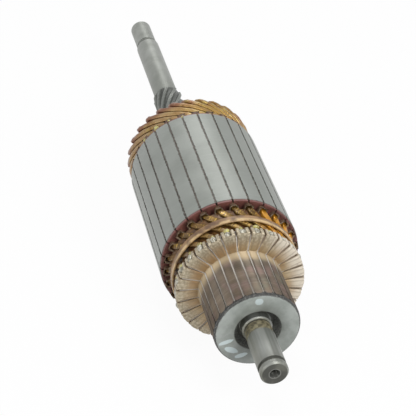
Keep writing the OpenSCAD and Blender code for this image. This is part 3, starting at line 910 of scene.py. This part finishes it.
# %% Shaft steel
shaft_steel = Finish("shaft_steel", metallic=0.5)
turned = shaft_steel.ring_noise(0.45, 3)
streaks = shaft_steel.noise(3.2, 3, (1, 0.05, 1))
haze = shaft_steel.noise(9, 4)
fine = shaft_steel.noise(0.9, 3)
steel = shaft_steel.mix(haze.between(0.3, 0.7), (0.22, 0.23, 0.205), (0.32, 0.33, 0.305))
steel = shaft_steel.mix(turned.between(0.5, 0.75) * 0.3, steel, (0.38, 0.39, 0.37))
wear_and_sheen = shaft_steel.mix(streaks.between(0.36, 0.64), (0.15, 0.155, 0.135), (0.33, 0.34, 0.32))
yellowed = (shaft_steel.x + haze * 3).between(-1.0, -5.5)
wear_and_sheen = shaft_steel.mix(yellowed * 0.5, wear_and_sheen, (0.2, 0.19, 0.13))
# painted reflection: a dark line along the top of the shaft
wear_and_sheen = shaft_steel.mix(shaft_steel.x.inside(1.4, 2.6, 1.0) * 0.5, wear_and_sheen, (0.11, 0.115, 0.1))
# painted highlight: a light line along the top of the shaft
wear_and_sheen = shaft_steel.mix(shaft_steel.x.inside(-1.2, 0.2, 1.0) * 0.4, wear_and_sheen, (0.42, 0.43, 0.4))
front = shaft_steel.along.between(0, -20)
steel = shaft_steel.mix(front * 0.8, steel, wear_and_sheen)
print("steel ready")

# %% [markdown]
# Oil bakes to a golden ring on the neck, and grime and painted shade darken the neck's root, the snap
# ring's groove, the recess and the relief groove at the drive end. Each is found by its station and
# radius. The track next to the spline is darker, and so is the front end.

# %% Oil, grime and painted shade
neck_front, neck_back, recess_floor = -55.5, -49.6, -46.5
grit = shaft_steel.noise(1.9, 4)
on_neck = shaft_steel.along.inside(neck_front + 1.1, neck_back - 0.8, 1.2)
oil = on_neck * (grit + haze - 0.5).between(0.3, 0.55)
gold = shaft_steel.mix(grit.between(0.35, 0.62), (0.13, 0.105, 0.055), (0.42, 0.37, 0.22))
steel = shaft_steel.mix(oil * 0.85, steel, gold)


def low_ring(near, far, soft, clear_r, full_r):
    """1 between two stations, on the side of full_r that lies away from clear_r."""
    return shaft_steel.along.inside(near, far, soft) * shaft_steel.radius.between(clear_r, full_r)


# grime and painted shade in the grooves, the recess and at the neck's root
grime_and_shade = low_ring(neck_back - 0.6, neck_back - 0.2, 0.25, 5.9, 5.7)
grime_and_shade = grime_and_shade.most(low_ring(shaft_front + 2.6, shaft_front + 4.3, 0.2, 5.7, 5.4))
grime_and_shade = grime_and_shade.most(low_ring(recess_floor - 2, recess_floor + 2, 0.4, 6.5, 6.9))
grime_and_shade = grime_and_shade.most(low_ring(shaft_back - 22.5, shaft_back - 20.6, 0.5, 5.3, 5.15))
steel = shaft_steel.mix(grime_and_shade * 0.85, steel, (0.05, 0.05, 0.042))
# the track next to the spline is darkened
darker_by_spline = shaft_steel.along.between(core_len + 100, core_len + 70) * front.between(1, 0)
steel = shaft_steel.mix(darker_by_spline * 0.65, steel, (0.19, 0.2, 0.175))
# the front end is darkened
darker_front_end = shaft_steel.along.between(shaft_front + 10.8, shaft_front + 3.8)
steel = shaft_steel.mix(darker_front_end * 0.45, steel, (0.13, 0.132, 0.11))
print("neck from", neck_front, "to", neck_back, "mm")

# %% [markdown]
# The end face was sawn and never ground, so it is dark, with a bright ring where the lathe centre
# ran, and its centre hole is painted black as painted shade. The spline is dark too, darkest between
# its teeth, partly grease and partly painted shade, and its crests are rubbed bright and carry a painted
# highlight.

# %% End face and spline
spline_front, spline_back = core_len + 26.0, core_len + 68.6
end_face = shaft_steel.along.between(shaft_front + 0.3, shaft_front + 0.05)
sawn = shaft_steel.mix(haze.between(0.4, 0.6), (0.05, 0.05, 0.042), (0.11, 0.11, 0.09))
sawn = shaft_steel.mix(shaft_steel.radius.inside(2.1, 2.4, 0.25) * 0.5, sawn, (0.3, 0.3, 0.28))
steel = shaft_steel.mix(end_face * shaft_steel.radius.between(5.3, 5.0) * 0.9, steel, sawn)
in_hole = shaft_steel.along.between(shaft_front + 6.8, shaft_front + 4.8)
# painted shade: the centre hole is blackened
hole_shade = in_hole * shaft_steel.radius.between(2.35, 2.0)
steel = shaft_steel.mix(hole_shade * fine.between(0.66, 0.58) * 0.8, steel, (0.025, 0.025, 0.022))
splined = shaft_steel.along.inside(spline_front + 0.2, spline_back - 0.2, 0.6)
valley, crest = shaft_steel.radius.between(7.1, 6.5), shaft_steel.radius.between(7.25, 7.4)
steel = shaft_steel.mix(splined * 0.8, steel, (0.125, 0.132, 0.118))
# painted shade with grease between the spline's teeth
steel = shaft_steel.mix(splined * valley * 0.8, steel, (0.06, 0.064, 0.057))
# painted highlight with rubbing on the spline's crests
steel = shaft_steel.mix(splined * crest * 0.35, steel, (0.3, 0.31, 0.29))
shaft_steel.set("Base Color", steel)
shaft_steel.set("Roughness", haze * 0.2 + 0.32 + grime_and_shade * 0.3)
shaft_steel.bump(turned + oil * grit * 12, 0.012, 0.7)
dress(shaft_steel, "shaft")
print("shaft dressed")
